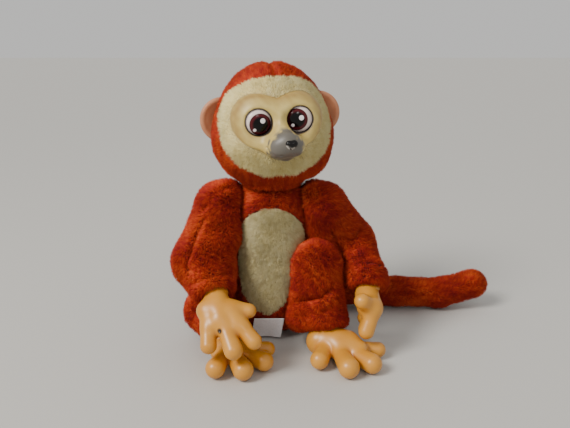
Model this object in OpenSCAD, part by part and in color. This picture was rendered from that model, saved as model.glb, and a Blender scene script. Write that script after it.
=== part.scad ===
// Seated stuffed monkey: sewn plush body on disc joints, moulded vinyl face, hands and feet.
// Millimetres, +Z up. The origin lies on the supporting surface under the middle of the seat.
// The animal faces -Y, and +X is its left side.

/* [Head] */
// Height of the head's centre above the surface
head_z = 174; // [172:1:178]
// Turn of the face towards the animal's left, in degrees
head_turn = 10; // [0:1:20]
// Tilt that lifts the animal's left ear, in degrees
head_tilt = 3; // [0:1:6]
// Semi-axes of the cheeks, the wide lower part of the head
cheek_r = [47, 43, 39]; // [35:1:48]
// Semi-axes of the crown, the narrower top of the head
crown_r = [41, 39, 43]; // [33:1:44]
// Height of the cheeks' centre above the head's centre
cheek_z = -13; // [-14:1:-11]
// Height of the crown's centre above the head's centre
crown_z = 2; // [0:1:3]
// Height of the head's flattened underside above the head's centre
chin_z = -46; // [-47:0.5:-44]
// Semi-axes of the cream ruff's outline round the face
ruff_r = [43, 36]; // [30:1:44]
// Half of the distance between the eyes' centres
eye_x = 15; // [13:0.1:15.5]
// Height of the eyes above the head's centre
eye_z = 5; // [3:1:7]
// Radius of an eye's glossy dome
eye_r = 9.5; // [8:0.1:9.7]
// How far the dome bulges from its rim
eye_bulge = 5; // [4:0.5:6]
// Radius of one eye lobe of the vinyl face mask
lobe_r = 19; // [18:0.1:20]
// Radius of an ear's outline
ear_r = 16.5; // [14:0.5:18]

/* [Torso] */
// Centre of the chest
chest_at = [0, -1, 101]; // [-2:1:102]
// Semi-axes of the chest
chest_r = [30, 27, 27]; // [26:1:30]
// Centre of the belly
belly_at = [0, 0, 30]; // [-1:1:31]
// Semi-axes of the belly
belly_r = [35, 32, 32]; // [30:1:36]
// Height of the flat top that the neck joint turns on
neck_z = 124; // [122:0.5:124]

/* [Arms] */
// Shoulder centre of the animal's left arm, mirrored for the right
shoulder_at = [41, -4, 105]; // [-5:1:106]
// Left elbow
left_elbow = [67, 6, 74]; // [5:1:76]
// Middle of the left cuff's mouth
left_cuff = [75.5, -33, 50]; // [-34:0.5:77]
// Right elbow
right_elbow = [-57, -25, 67]; // [-60:1:68]
// Middle of the right cuff's mouth
right_cuff = [-41, -56, 54]; // [-57:1:55]
// Radius of both shoulders
shoulder_r = 19.5; // [17:0.5:20]
// Further bend of each elbow from the seated pose, in degrees
elbow_bend = 30; // [20:1:30]

/* [Legs] */
// Centre of the animal's left hip, mirrored for the right
hip_at = [36, 0, 28]; // [0:1:37]
// Left knee, drawn up in front of the belly
left_knee = [33, -23, 63.5]; // [-24:0.5:64]
// Middle of the left leg's cuff
left_ankle = [43, -44, 21]; // [-45:1:44]
// Right knee, folded out flat on the surface
right_knee = [-52, -21, 24]; // [-53:1:25]
// Middle of the right leg's cuff
right_ankle = [-35, -52, 20.5]; // [-53:0.5:22]
// Radius of both hips
hip_r = 18.5; // [17:0.5:19]
// How far the left knee straightens, in degrees
left_knee_open = 40; // [20:1:40]
// How far the right knee straightens, in degrees
right_knee_open = 45; // [30:1:45]

/* [Tail] */
// Root of the tail, behind the seat
tail_root = [9, 43, 15]; // [9:1:44]
// Where the tail's tip length begins
tail_middle = [112, 39, 15.5]; // [14:0.5:113]
// End of the tail, lifted off the surface
tail_end = [180, 38, 20]; // [18:1:182]
// Radius of the tail at its root
tail_r = 13; // [12:0.5:13.5]
// How far the tail swings back, in degrees
tail_swing = 80; // [60:1:80]
// How far the tip curls up, in degrees
tail_curl = 60; // [40:1:60]

/* [Make] */
// Thickness of the plush fabric
fabric = 2; // [1.5:0.1:2.2]
// Wall of the vinyl face mask
vinyl = 2; // [1.5:0.1:2.2]
// Radius of a doll joint's stem
stem_r = 3; // [2.5:0.1:3.2]
// Running clearance round a stem
running = 0.08; // [0.03:0.01:0.1]
// Gap between sewn parts that move past each other
gap = 0.3; // [0.3:0.05:0.4]
// Radius of the groove round a hand's or foot's neck
groove_r = 6.8; // [6.4:0.1:7]

/* [Hidden] */

soft_fn = 28;      // facets round a stuffed form
cast_fn = 20;      // facets round a finger or toe
sweep_fn = 24;     // facets round the space that a bend sweeps
bend_slack = 0.5;  // room between a bend's ball and the sleeve round it
far = 400;         // longer than the whole animal
fur_red = [0.62, 0.22, 0.09];
fur_cream = [0.82, 0.76, 0.58];
vinyl_tan = [0.86, 0.67, 0.42];
vinyl_face = [0.84, 0.76, 0.54];
nylon = [0.9, 0.9, 0.88];

pellet_mouth_r = 8; // where the pellet bag lies bare on the skin
shoulder_flat_r = 41; // torso's flat for an arm
hip_flat_r = 25.9; // torso's flat for a leg
label_size = [24, 0.5, 22];
label_at = [-2, -23.5, 1]; // middle of the label's lower edge
label_lean = 22;   // slope of the label, in degrees
disc_r = 9;        // doll-joint disc and washer
disc_t = 2;        // their thickness
lock_r = 6;        // push-on lock at the stem's inner end
arm_face_x = 25.2; // plane where an arm meets the torso
leg_face_x = 30.3; // plane where a leg meets the torso
neck_r = 17;       // sewn neck under the head
ear_at = [38, 4, 3.5]; // left ear's centre, in the head's frame like all of the face
ear_lean = 8;      // how far an ear's hollow turns outwards, in degrees
ruff_back_y = -9;  // the ruff's seam with the hood
mask_back_y = -22; // the vinyl mask's open back
lobe_y = -25;      // centre of an eye lobe
lobe_depth = 16.5; // its semi-axis towards the front
muzzle_root = [0, -35, -8];
muzzle_r = 14.5;   // at its root
muzzle_tip = [3, -50.5, -10];
muzzle_tip_r = 9.3;
nose_at = [4.5, -58.5, -8.6];
eye_rim_y = -36.5; // widest section of an eye's dome
eye_pin_y = -23.5; // inner end of the eye's pin
eye_pin_r = 3;
tie_r = 7.1;       // inside of a cable tie
socket_r = 9.6;    // bore of a cuff
tie_t = [-6.5, -3.5];

left_hand_dir = unit([-0.05, -0.62, -0.78]);
right_hand_dir = unit([0.3, -0.72, -0.62]);
left_foot_dir = unit([0.1, -0.42, -0.9]);
right_foot_dir = unit([0.35, -0.6, -0.72]);

// ---------- geometry helpers ----------

function unit(v) = v / norm(v);
function mirrored(p) = [-p[0], p[1], p[2]];
module look(dir) {
  rotate([0, acos(dir[2] / norm(dir)), atan2(dir[1], dir[0])]) children();
}

module ball(at, r, fn = soft_fn) {
  translate(at) sphere(r, $fn = fn);
}

module egg(at, r, fn = soft_fn) {
  translate(at) scale(r) sphere(1, $fn = fn);
}

// A stuffed length of limb
module limb(a, b, ra, rb, fn = soft_fn) {
  hull() {
    ball(a, ra, fn);
    ball(b, rb, fn);
  }
}

// Everything behind the plane through p with normal n, less a gap
module behind(p, n, clear = gap) {
  translate(p) look(n) translate([-far / 2, -far / 2, clear - far]) cube(far);
}

// Space that a neighbour sweeps as the limb turns about an axis through p
module swept(p, axis, turns) {
  for (t = turns) translate(p) rotate(a = -t, v = axis) translate(-p) children();
}

// The same for a length of limb from p to q, whose round end at p is the bend
module swept_limb(p, q, rp, rq, axis, turns) {
  translate(p) sphere(rp + bend_slack + 0.1, $fn = 48);
  swept(p, axis, turns) limb(p, q, rp + bend_slack, rq + bend_slack + 0.3, sweep_fn);
}

// ---------- doll joints: local +Z points out of the body into the limb ----------

module joint_washer() {
  difference() {
    translate([0, 0, -4.3]) cylinder(r = disc_r, h = disc_t, $fn = 48);
    translate([0, 0, -5]) cylinder(r = stem_r + running, h = 4, $fn = 48);
  }
}

module joint_disc() {
  translate([0, 0, 2.5]) cylinder(r = disc_r, h = disc_t, $fn = 48);
  translate([0, 0, -8.5]) cylinder(r = stem_r, h = 11.5, $fn = 48);
}

module joint_lock() {
  difference() {
    translate([0, 0, -6.8]) cylinder(r = lock_r, h = disc_t, $fn = 48);
    translate([0, 0, -7.5]) cylinder(r = stem_r, h = 4, $fn = 48);
  }
}

// Room in the stuffing for washer, lock and stem end
module joint_room() {
  translate([0, 0, -9.5]) cylinder(r = disc_r + 0.5, h = 9.5, $fn = 32);
}

// Stem hole in a fabric skin
module stem_hole() {
  translate([0, 0, -5]) cylinder(r = stem_r + 1, h = 12, $fn = 32);
}

// Room in a limb's filling for its disc and stem
module disc_room() {
  translate([0, 0, 2.4]) cylinder(r = disc_r + 0.1, h = disc_t + 0.2, $fn = 48);
  translate([0, 0, -1]) cylinder(r = stem_r + 0.1, h = 5, $fn = 48);
}

module at_shoulder(s) translate([s * (arm_face_x - gap), shoulder_at[1], shoulder_at[2]])
  rotate([0, s * 90, 0]) children();
module at_hip(s) translate([s * (leg_face_x - gap), hip_at[1], hip_at[2]])
  rotate([0, s * 90, 0]) children();
module at_neck() translate([0, 0, neck_z]) children();

// ---------- torso ----------

module torso_form(g = 0) {
  difference() {
    hull() {
      egg(chest_at, chest_r + [g, g, g]);
      egg(belly_at, belly_r + [g, g, g]);
    }
    translate([-far / 2, -far / 2, -far - g]) cube(far);
    translate([-far / 2, -far / 2, neck_z + g]) cube(far);
    for (s = [-1, 1]) {
      at_shoulder(s) translate([0, 0, g]) cylinder(r = shoulder_flat_r - g, h = 30, $fn = 12);
      at_hip(s) translate([0, 0, g]) cylinder(r = hip_flat_r - g, h = 30, $fn = 12);
    }
  }
}

module torso_stems() {
  for (s = [-1, 1]) {
    at_shoulder(s) stem_hole();
    at_hip(s) stem_hole();
  }
  at_neck() stem_hole();
}

// Shield-shaped outline of the cream belly, in X and Z
module belly_shield(inset = 0) {
  translate([0, -8, 0]) rotate([90, 0, 0]) linear_extrude(60) offset(delta = -inset)
    polygon([[-5, 110], [5, 110], [15, 105.5], [24, 96], [24.5, 84], [21.5, 70], [16.5, 51],
             [9.5, 33.5], [-1.5, 25], [-14, 29], [-23.5, 42], [-24.5, 66], [-24.5, 90],
             [-17, 104]]);
}

module torso_skin() color(fur_red) {
  difference() {
    torso_form();
    torso_form(-fabric);
    torso_stems();
    belly_shield();
  }
  difference() {
    tail_stub();
    torso_form(-fabric / 2);
  }
}

module belly_panel() color(fur_cream) intersection() {
  difference() {
    torso_form();
    torso_form(-fabric);
  }
  belly_shield(0.1);
}

module pellet_form(g = 0) {
  egg([0, 0, 22], [21 + g, 21 + g, 15 + g]);
}

module pellet_bag() color([0.85, 0.85, 0.8]) pellet_form();

module torso_stuffing() color([0.95, 0.95, 0.93]) difference() {
  torso_form(-fabric - 0.2);
  pellet_form(0.2);
  cylinder(r = pellet_mouth_r, h = 20, $fn = 32);
  for (s = [-1, 1]) {
    at_shoulder(s) joint_room();
    at_hip(s) joint_room();
  }
  at_neck() joint_room();
}

// Satin label that hangs from the crotch seam to the surface
module care_label() color([0.93, 0.92, 0.9])
  translate(label_at) rotate([label_lean, 0, 0])
    translate([-label_size[0] / 2, -label_size[1] / 2, 0]) cube(label_size);

module neck_washer() color(nylon) at_neck() joint_washer();
module shoulder_washer(s) color(nylon) at_shoulder(s) joint_washer();
module hip_washer(s) color(nylon) at_hip(s) joint_washer();

// ---------- head, in a frame at its centre that faces -Y ----------

module at_head() translate([0, 0, head_z]) rotate([0, -head_tilt, head_turn]) children();

module head_form(g = 0) {
  intersection() {
    hull() {
      egg([0, -1, cheek_z], cheek_r + [g, g, g], 36);
      egg([0, 0, crown_z], crown_r + [g, g, g], 36);
    }
    translate([-far / 2, -far / 2, chin_z - g]) cube(far);
  }
}

module neck_form(g = 0) {
  translate([0, 0, neck_z + gap - g]) cylinder(r = neck_r + g, h = 14 + 2 * g, $fn = 36);
}

module head_shell() difference() {
  union() {
    at_head() head_form();
    neck_form();
  }
  at_head() head_form(-fabric);
  neck_form(-fabric);
}

// Outline of the ruff, as a bar through the front half of the head
module ruff_bar(inset = 0) {
  at_head() translate([0, ruff_back_y, 0]) rotate([90, 0, 0])
    resize([2 * (ruff_r[0] - inset), 2 * (ruff_r[1] - inset)]) linear_extrude(60) circle(1, $fn = 40);
}

module mask_form(g = 0) {
  hull() {
    for (s = [-1, 1])
      egg([s * (eye_x - 0.5), lobe_y, eye_z], [lobe_r + g, lobe_depth + g, lobe_r + g]);
    ball([0, -30, -9], 14 + g);
  }
  hull() {
    ball(muzzle_root, muzzle_r + g);
    ball(muzzle_tip, muzzle_tip_r + g);
  }
}

module front_of(y) {
  translate([-far / 2, y - far, -far / 2]) cube(far);
}

module eye_hole(s, g = 0) {
  translate([s * eye_x, -20, eye_z]) rotate([90, 0, 0]) cylinder(r = eye_r + 0.15 + g, h = 40, $fn = 48);
}

module nose_peg(g = 0) {
  translate([nose_at[0], -54, nose_at[2]]) rotate([90, 0, 0]) cylinder(r = 1.5 + g, h = 6, $fn = 24);
}

module face_mask() color(vinyl_face) at_head() difference() {
  intersection() {
    mask_form();
    front_of(mask_back_y);
  }
  mask_form(-vinyl);
  eye_hole(-1);
  eye_hole(1);
  nose_peg();
}

module nose_button() color([0.06, 0.05, 0.05]) at_head() {
  difference() {
    egg(nose_at, [5, 3.6, 3.6], 24);
    mask_form(0.05);
  }
  nose_peg();
}

module eye(s) color([0.1, 0.03, 0.03]) at_head() {
  egg([s * eye_x, eye_rim_y, eye_z], [eye_r, eye_bulge, eye_r], 32);
  translate([s * eye_x, eye_pin_y, eye_z]) rotate([90, 0, 0]) cylinder(r = eye_pin_r, h = 10, $fn = 32);
}

module eye_washer(s) color(nylon) at_head() difference() {
  translate([s * eye_x, eye_pin_y - 1, eye_z]) rotate([90, 0, 0]) cylinder(r = 7, h = 1.5, $fn = 32);
  translate([s * eye_x, eye_pin_y - 0.5, eye_z]) rotate([90, 0, 0])
    cylinder(r = eye_pin_r, h = 3, $fn = 32);
}

module ear(s) color([0.78, 0.55, 0.43]) at_head() difference() {
  translate([s * ear_at[0], ear_at[1], ear_at[2]]) rotate([90, 0, s * -ear_lean])
    rotate_extrude($fn = 48)
    polygon([[0, -2.5], [ear_r - 2, -2.5], [ear_r, -0.5], [ear_r, 1.5], [ear_r - 1.5, 2.5],
             [ear_r - 4, 1.2], [ear_r - 8, -0.3], [0, -0.3]]);
  head_form(0.2);
}

module face_ruff() color(fur_cream) difference() {
  intersection() {
    head_shell();
    ruff_bar(0.1);
  }
  at_head() mask_form(0.2);
}

module head_hood() color(fur_red) difference() {
  head_shell();
  ruff_bar();
  at_neck() stem_hole();
}

module head_stuffing() color([0.95, 0.95, 0.93]) difference() {
  union() {
    at_head() head_form(-fabric - 0.2);
    neck_form(-fabric - 0.2);
  }
  at_head() intersection() {
    mask_form(0.2);
    front_of(mask_back_y + 0.3);
  }
  at_neck() disc_room();
}

module neck_disc() color(nylon) at_neck() joint_disc();
module neck_lock() color(nylon) at_neck() joint_lock();

// ---------- cuffs: local +Z points out of the sleeve into the hand or foot ----------

module cuff_room() {
  translate([0, 0, -13.8]) cylinder(r = socket_r, h = 30, $fn = 48);
  translate([socket_r - 1, -2.2, tie_t[0] - 0.2]) cube([4.2, 4.4, tie_t[1] - tie_t[0] + 0.4]);
}

// Cable tie with its lock head
module cuff_tie() {
  difference() {
    translate([0, 0, tie_t[0]]) cylinder(r = socket_r, h = tie_t[1] - tie_t[0], $fn = 48);
    translate([0, 0, tie_t[0] - 1]) cylinder(r = tie_r, h = 5, $fn = 48);
  }
  translate([socket_r - 0.8, -2, tie_t[0]]) cube([3.6, 4, tie_t[1] - tie_t[0]]);
}

// Flanged neck of a hand or foot
module cast_neck() {
  rotate_extrude($fn = 48)
    polygon([[0, -13.2], [8.4, -13.2], [9.2, -12.4], [9.2, -7.6], [groove_r, -7.4],
             [groove_r, -2.6], [9.1, -2.4], [9.1, 2.5], [0, 2.5]]);
}

module cuffed(at, dir) {
  difference() {
    children();
    translate(at) look(dir) cuff_room();
    behind(at, -dir, 0);
  }
}

module finger(from, to, r_from, r_to) {
  hull() {
    ball(from, r_from, cast_fn);
    ball(to, r_to, cast_fn);
  }
}

// ---------- arms ----------

right_shoulder_at = mirrored(shoulder_at);
left_elbow_r = 17;
right_elbow_r = 20.5;
left_cuff_r = 15;
right_cuff_r = 16;
left_elbow_axis = [-1, 0, 0];
right_elbow_axis = unit(cross(right_elbow - right_shoulder_at, right_cuff - right_elbow));

module upper_arm(s, shoulder, elbow, elbow_r) color(fur_red) difference() {
  limb(shoulder, elbow, shoulder_r, elbow_r);
  translate([s > 0 ? arm_face_x - far : -arm_face_x, -far / 2, -far / 2]) cube(far);
  at_shoulder(s) disc_room();
}

module forearm(shoulder, elbow, cuff, dir, elbow_r, cuff_r, axis) color(fur_red)
  cuffed(cuff, dir) difference() {
    limb(elbow, cuff, elbow_r, cuff_r);
    swept_limb(elbow, shoulder, elbow_r, shoulder_r, axis, [0, elbow_bend]);
  }

module upper_arm_left() upper_arm(1, shoulder_at, left_elbow, left_elbow_r);
module upper_arm_right() upper_arm(-1, right_shoulder_at, right_elbow, right_elbow_r);
module forearm_left() forearm(shoulder_at, left_elbow, left_cuff, left_hand_dir,
                              left_elbow_r, left_cuff_r, left_elbow_axis);
module forearm_right() forearm(right_shoulder_at, right_elbow, right_cuff, right_hand_dir,
                               right_elbow_r, right_cuff_r, right_elbow_axis);

// Space that the left arm swings through, past the drawn-up knee
module arm_lane() at_shoulder(1) hull() rotate_extrude($fn = 48)
  polygon([[0, 0], [12.5, 0.7], [44.3, 27.5], [49.2, 33.3], [51.3, 42], [51.3, 70], [0, 70]]);

module shoulder_disc(s) color(nylon) at_shoulder(s) joint_disc();
module shoulder_lock(s) color(nylon) at_shoulder(s) joint_lock();
module wrist_tie_left() color(nylon) translate(left_cuff) look(left_hand_dir) cuff_tie();
module wrist_tie_right() color(nylon) translate(right_cuff) look(right_hand_dir) cuff_tie();

module hand_left() color(vinyl_tan) {
  translate(left_cuff) look(left_hand_dir) cast_neck();
  hull() {
    ball([75.2, -38, 45.5], 8, cast_fn);
    ball([76.5, -47, 39], 8.5, cast_fn);
    ball([76.5, -54, 41], 7, cast_fn);
    ball([76.5, -40, 35], 7, cast_fn);
  }
  finger([76.5, -54, 42], [67.5, -60, 49], 5.5, 6);
  finger([77, -55, 39], [71.5, -60, 24.5], 5.5, 5.8);
  finger([77, -47, 36], [73, -48, 20.5], 5.5, 6);
  finger([77, -40, 35], [73.5, -36, 24], 5.5, 6);
}

module hand_right() color(vinyl_tan) {
  translate(right_cuff) look(right_hand_dir) cast_neck();
  hull() {
    ball([-39.5, -62, 50.5], 8.5, cast_fn);
    ball([-46, -67, 46], 7.5, cast_fn);
    ball([-29, -70, 46], 7, cast_fn);
    ball([-36, -74, 43], 7.5, cast_fn);
  }
  finger([-29, -68, 48], [-15.5, -70, 46], 5.5, 5.2);
  finger([-45, -72, 43], [-43.5, -87, 27], 5.5, 5.8);
  finger([-35, -75, 43], [-25.5, -92, 26], 5.5, 6.8);
  finger([-29, -73, 45], [-11.5, -86, 30], 5.5, 6);
}

// ---------- legs ----------

right_hip_at = mirrored(hip_at);
knee_r = 18;
left_ankle_r = 14.5;
right_ankle_r = 13;
left_calf = [26, -37, 25]; // inner swell of the drawn-up shin
left_calf_r = 13;
left_knee_axis = unit(cross(left_ankle - left_knee, left_knee - hip_at));
right_knee_axis = unit(cross(right_ankle - right_knee, right_knee - right_hip_at));

module thigh(s, hip, knee) color(fur_red) difference() {
  limb(hip, knee, hip_r, knee_r);
  swept(hip, [1, 0, 0], [0, 10, 20]) torso_form(gap);
  translate([s > 0 ? leg_face_x - far : -leg_face_x, -18, -far / 2]) cube(far);
  arm_lane();
  at_hip(s) disc_room();
}

module shin(hip, knee, ankle, dir, ankle_r, calf, calf_r, axis, opened) color(fur_red)
  cuffed(ankle, dir) difference() {
    hull() {
      ball(knee, knee_r - 0.5);
      ball(ankle, ankle_r);
      ball(calf, calf_r);
    }
    swept_limb(knee, hip, knee_r, hip_r, axis, [0, opened / 2, opened]);
    torso_form(gap + 2);
    arm_lane();
  }

module thigh_left() thigh(1, hip_at, left_knee);
module thigh_right() thigh(-1, right_hip_at, right_knee);
module shin_left() shin(hip_at, left_knee, left_ankle, left_foot_dir, left_ankle_r,
                        left_calf, left_calf_r, left_knee_axis, left_knee_open);
module shin_right() shin(right_hip_at, right_knee, right_ankle, right_foot_dir, right_ankle_r,
                         right_ankle, right_ankle_r, right_knee_axis, right_knee_open);

module hip_disc(s) color(nylon) at_hip(s) joint_disc();
module hip_lock(s) color(nylon) at_hip(s) joint_lock();
module ankle_tie_left() color(nylon) translate(left_ankle) look(left_foot_dir) cuff_tie();
module ankle_tie_right() color(nylon) translate(right_ankle) look(right_foot_dir) cuff_tie();

module foot_left() color(vinyl_tan) {
  translate(left_ankle) look(left_foot_dir) cast_neck();
  hull() {
    ball([44, -48, 14], 8.5, cast_fn);
    ball([36, -50, 9], 8, cast_fn);
    ball([52, -62, 10], 7.5, cast_fn);
    ball([60, -58, 9], 6.5, cast_fn);
  }
  finger([42, -58, 10], [36, -73, 8], 5.5, 7);
  finger([51, -65, 10], [56.5, -84, 8], 5.5, 7.8);
  finger([58, -62, 9.5], [74, -78, 7.8], 5.5, 7.4);
  finger([60, -56, 8.5], [81.5, -56, 7], 5, 5.8);
}

module foot_right() color(vinyl_tan) {
  translate(right_ankle) look(right_foot_dir) cast_neck();
  hull() {
    ball([-34, -56, 15], 8.5, cast_fn);
    ball([-39, -62, 9], 7, cast_fn);
    ball([-25, -66, 10], 7, cast_fn);
    ball([-22, -59, 9], 6.5, cast_fn);
  }
  finger([-34, -66, 9.5], [-39.5, -85, 8], 5.5, 7.2);
  finger([-28, -69, 9.5], [-19.5, -87, 8], 5.5, 7.6);
  finger([-22, -64, 9.5], [-5, -75, 8], 5.5, 7.2);
  finger([-21, -57, 9], [-3, -57, 8], 5.5, 6);
}

// ---------- tail ----------

stub_end = tail_root + [0, -20, 1];
swing_axis = unit(cross(tail_middle - tail_root, tail_root - stub_end));
curl_axis = unit(cross(tail_middle - tail_root, tail_end - tail_middle));

// Sewn root of the tail on the back of the torso
module tail_stub() {
  limb(tail_root, stub_end, tail_r - 1, tail_r - 2);
}

module tail_base() color(fur_red) difference() {
  limb(tail_root, tail_middle, tail_r - 1.5, tail_r);
  swept_limb(tail_root, stub_end, tail_r - 1, tail_r - 2, swing_axis,
             [0, tail_swing / 3, tail_swing * 2 / 3, tail_swing]);
}

module tail_tip() color(fur_red) difference() {
  limb(tail_middle, tail_end, tail_r - 0.5, tail_r - 1);
  swept_limb(tail_middle, tail_root, tail_r, tail_r - 1.5, curl_axis, [0, tail_curl / 2, tail_curl]);
}

// ---------- drawn nodes ----------

torso_skin();
belly_panel();
torso_stuffing();
pellet_bag();
care_label();
neck_washer();
shoulder_washer(1);  // shoulder_washer_left
shoulder_washer(-1);  // shoulder_washer_right
hip_washer(1);  // hip_washer_left
hip_washer(-1);  // hip_washer_right
head_hood();
face_ruff();
head_stuffing();
face_mask();
nose_button();
eye(1);  // eye_left
eye(-1);  // eye_right
eye_washer(1);  // eye_washer_left
eye_washer(-1);  // eye_washer_right
ear(1);  // ear_left
ear(-1);  // ear_right
neck_disc();
neck_lock();
upper_arm_left();
shoulder_disc(1);  // shoulder_disc_left
shoulder_lock(1);  // shoulder_lock_left
forearm_left();
wrist_tie_left();
hand_left();
upper_arm_right();
shoulder_disc(-1);  // shoulder_disc_right
shoulder_lock(-1);  // shoulder_lock_right
forearm_right();
wrist_tie_right();
hand_right();
thigh_left();
hip_disc(1);  // hip_disc_left
hip_lock(1);  // hip_lock_left
shin_left();
ankle_tie_left();
foot_left();
thigh_right();
hip_disc(-1);  // hip_disc_right
hip_lock(-1);  // hip_lock_right
shin_right();
ankle_tie_right();
foot_right();
tail_base();
tail_tip();
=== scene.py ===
"""Looks of a seated stuffed monkey: plush skins with a real pile, vinyl face, hands and feet.

Each form is a field: a signed distance in millimetres in the solids' frame, negative inside.
A field becomes a mesh on a grid. The plush skins are then filled by cloth simulation, their
seams and folds are pressed in, and the pile is planted on the result.
"""
import math
from collections import namedtuple

import bpy
import numpy as np
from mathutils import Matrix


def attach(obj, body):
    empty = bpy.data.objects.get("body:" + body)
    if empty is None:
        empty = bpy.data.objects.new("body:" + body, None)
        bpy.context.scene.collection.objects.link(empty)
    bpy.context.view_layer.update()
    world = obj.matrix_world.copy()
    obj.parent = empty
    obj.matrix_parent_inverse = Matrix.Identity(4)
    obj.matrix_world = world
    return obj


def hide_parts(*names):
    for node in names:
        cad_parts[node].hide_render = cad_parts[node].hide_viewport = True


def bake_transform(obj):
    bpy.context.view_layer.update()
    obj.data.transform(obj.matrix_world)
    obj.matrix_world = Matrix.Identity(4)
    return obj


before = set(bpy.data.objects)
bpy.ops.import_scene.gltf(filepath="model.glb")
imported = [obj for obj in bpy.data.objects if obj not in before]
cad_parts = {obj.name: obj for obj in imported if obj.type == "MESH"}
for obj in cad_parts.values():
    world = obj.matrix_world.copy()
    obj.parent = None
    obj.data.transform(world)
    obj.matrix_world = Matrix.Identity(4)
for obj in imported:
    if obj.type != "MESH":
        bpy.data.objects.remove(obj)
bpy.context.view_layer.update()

MM = 0.001


def ramp(value):
    """A value cut off at 0 and at 1."""
    return np.clip(value, 0, 1)


def length(v):
    """Length of each row."""
    return np.linalg.norm(v, axis=1)


def unit(v):
    """A vector, or each row, made one long."""
    v = np.array(v, float)
    return v / np.maximum(np.linalg.norm(v, axis=-1, keepdims=True), 1e-9)


# ---------- the animal's measures, in millimetres ----------

HEAD_AT = np.array([0.0, 0.0, 174.0])
HEAD_TURN = math.radians(10)
HEAD_TILT = math.radians(3)

# In the head's own frame, which faces -Y
CHEEKS, CHEEKS_R = np.array([0, -1, -13.0]), np.array([47, 43, 39.0])
CROWN, CROWN_R = np.array([0, 0, 2.0]), np.array([41, 39, 43.0])
JOWL, JOWL_R = (12.5, -2, -27.5), (30, 32, 20)
CHIN_Z = -45.0
EYE_X, EYE_Z, EYE_R = 15.0, 5.0, 9.5
EYE_BACK_Y = -24     # the eyes' sockets run back to here
MASK_OUT = 3.0       # front of the mask's plate above the head's backing
MASK_BACK_Y = -22
NOSE_AT = (4.6, -58.2, -9.8)
MOUTH = [(-11, -46, -12), (-8, -52, -16), (-2.5, -55, -17), (2.5, -55, -15.6), (7, -55, -17),
         (12, -51.5, -15.5), (14.5, -46, -12)]
NOSTRIL = [(-3, -52, -1), (-5, -54, -8), (0, -58, -12)]
SMILE = [(-10, -48, -12), (-6, -53, -16), (-1, -55, -17)]
EAR_AT, EAR_R, EAR_LEAN = (38, 4, 3.5), 16.6, math.radians(8)
RUFF_X, RUFF_Z, RUFF_POWER = 43, 36, 2.3    # the ruff's outline, a squarish oval
RUFF_EDGE = 0.95     # its edge, as ruff_reach() counts
FACE_Y = -9          # the ruff and the mask lie in front of this

# In the frame of the solids
NECK_Z, NECK_R = 124.3, 23.5
CHEST, CHEST_R = np.array([0, -1, 100.5]), np.array([30, 27, 27])
BELLY, BELLY_R = np.array([0, 0, 30.5]), np.array([35, 32, 32])
FLANK_X, FLANK_OUT = 24.8, 5.0      # half width of the torso between the arms, and what the hips add
HIP_Z, HIP_RISE = 82, 24            # height where the flanks begin to widen, and over what drop
YOKE_X, YOKE_Z, YOKE_R = 17, 112.5, 10.5
JOINT_FRONT_Y = -20  # a sleeve's flat joint face ends here, towards the front
TAIL_ROOT, TAIL_MIDDLE = (9, 43, 15), (112, 39, 14.5)
TAIL_DIP, TAIL_END = (150, 36, 14.4), (180, 37.5, 22.5)
LABEL_TOP, LABEL_SIZE, LABEL_LEAN = (-2.0, -31.7, 21.6), (24.0, 22.0), math.radians(22)
BELLY_FRONT_Y = -8   # the cream panel lies in front of this
SKIN_IN = 2.0        # plush backing inside the solid's surface; the pile makes up the rest
HOOD_IN = 1.5        # the same on the head, whose pile is shorter
CLEAR = 0.8          # between the skins of neighbouring parts, and under a skin on the floor
SOCKET_R, SOCKET_DEEP = 9.9, 14.0
CUFF_WALL = 2.9      # least thickness of a sleeve round its cuff's bore
COLLAR_LONG, COLLAR_WALL = 8, 2.7   # the same further up, round the bore's inner end
VENT_AT, VENT_R = (-35.5, -86.3, 38.0), 1.0
SHIELD = [(-5, 110), (5, 110), (15, 105.5), (22.5, 97), (24.5, 84), (21.5, 70), (16.5, 51), (9.5, 33.5),
          (-1.5, 25), (-14, 29), (-23.5, 42), (-25.5, 66), (-24.5, 90), (-17, 104)]


class Limb:
    """A sleeve from its joint to its cuff, bent once, with a hand or foot on its end."""

    def __init__(self, name, upper, lower, points, radii, aim, face_x):
        self.name, self.upper, self.lower, self.radii = name, upper, lower, radii
        self.points = [np.array(p, float) for p in points]
        self.aim = unit(aim)
        self.side, self.face_x = math.copysign(1, points[0][0]), face_x
        self.cuff = self.points[2]
        self.calf = None

    def past_cuff(self, p):
        """How far each point is past the cuff along its aim, and how far off that axis."""
        out = (p - self.cuff) @ self.aim
        return out, length(p - self.cuff - out[:, None] * self.aim)


ARM_LEFT = Limb("arm_left", "upper_arm_left", "forearm_left",
                [(41, -4, 105), (67, 6, 74), (75.5, -33, 50)], (19.5, 17, 15),
                (-0.05, -0.62, -0.78), 25.3)
ARM_RIGHT = Limb("arm_right", "upper_arm_right", "forearm_right",
                 [(-41, -4, 105), (-57, -25, 67), (-41, -56, 54)], (19.5, 20.5, 16),
                 (0.3, -0.72, -0.62), 25.3)
LEG_LEFT = Limb("leg_left", "thigh_left", "shin_left",
                [(36, 0, 28), (35, -23, 64), (43, -44, 21)], (18.5, 18.4, 16),
                (0.1, -0.42, -0.9), 30.4)
LEG_LEFT.calf = (26, -37, 25), 13.0
LEG_RIGHT = Limb("leg_right", "thigh_right", "shin_right",
                 [(-36, 0, 28), (-52, -21, 24), (-35, -52, 20.5)], (18.5, 18, 13),
                 (0.35, -0.6, -0.72), 30.4)


# ---------- fields ----------

def smooth_min(a, b, k):
    """The lesser of two fields, with the corner between them rounded over a width k."""
    h = np.clip(k - np.abs(a - b), 0, None) / k
    return np.minimum(a, b) - h * h * k / 4


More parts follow.
